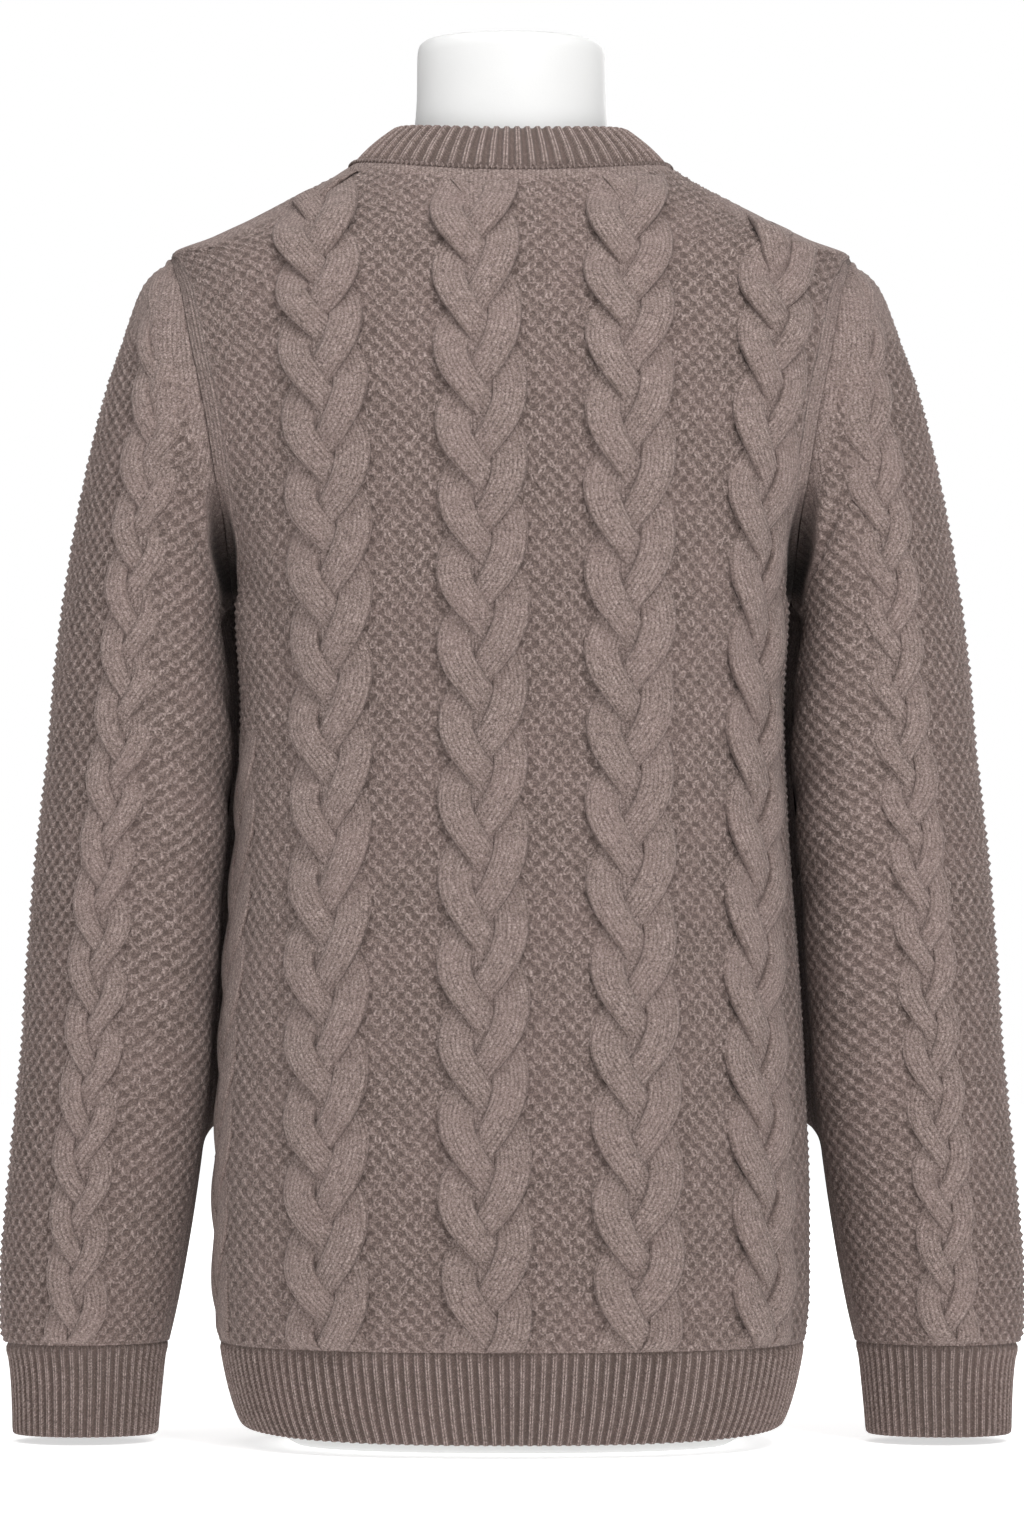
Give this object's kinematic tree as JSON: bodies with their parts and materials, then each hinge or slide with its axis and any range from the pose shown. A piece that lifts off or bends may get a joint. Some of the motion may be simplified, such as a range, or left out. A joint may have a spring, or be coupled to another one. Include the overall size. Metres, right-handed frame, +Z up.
{
  "type": "cable knit sweater on dress form",
  "caption": "Crew-neck pullover in cable and moss stitch with ribbed hem and cuffs, hollow, worn by a limbless white dress form on a flat base.",
  "frame": {"origin": "middle of the dress form's flat base, on the surface that it stands on", "axes": "+Z up; the front of the sweater faces -Y and its back +Y; +X is the wearer's left"},
  "size_m": [0.551, 0.241, 0.758],
  "materials": {
    "cable_knit_wool": "heathered taupe wool, cables on moss stitch, soft and slightly fuzzy",
    "ribbed_wool": "the same wool in 1 by 1 rib",
    "white_form_shell": "smooth white satin"
  },
  "bodies": {
    "root": {"back_panel": "cable_knit_wool", "front_panel": "cable_knit_wool", "left_sleeve": "cable_knit_wool", "right_sleeve": "cable_knit_wool", "back_hem_rib": "ribbed_wool", "front_hem_rib": "ribbed_wool", "left_cuff": "ribbed_wool", "right_cuff": "ribbed_wool", "neckband": "ribbed_wool", "dress_form": "white_form_shell"}
  },
  "joints": []
}
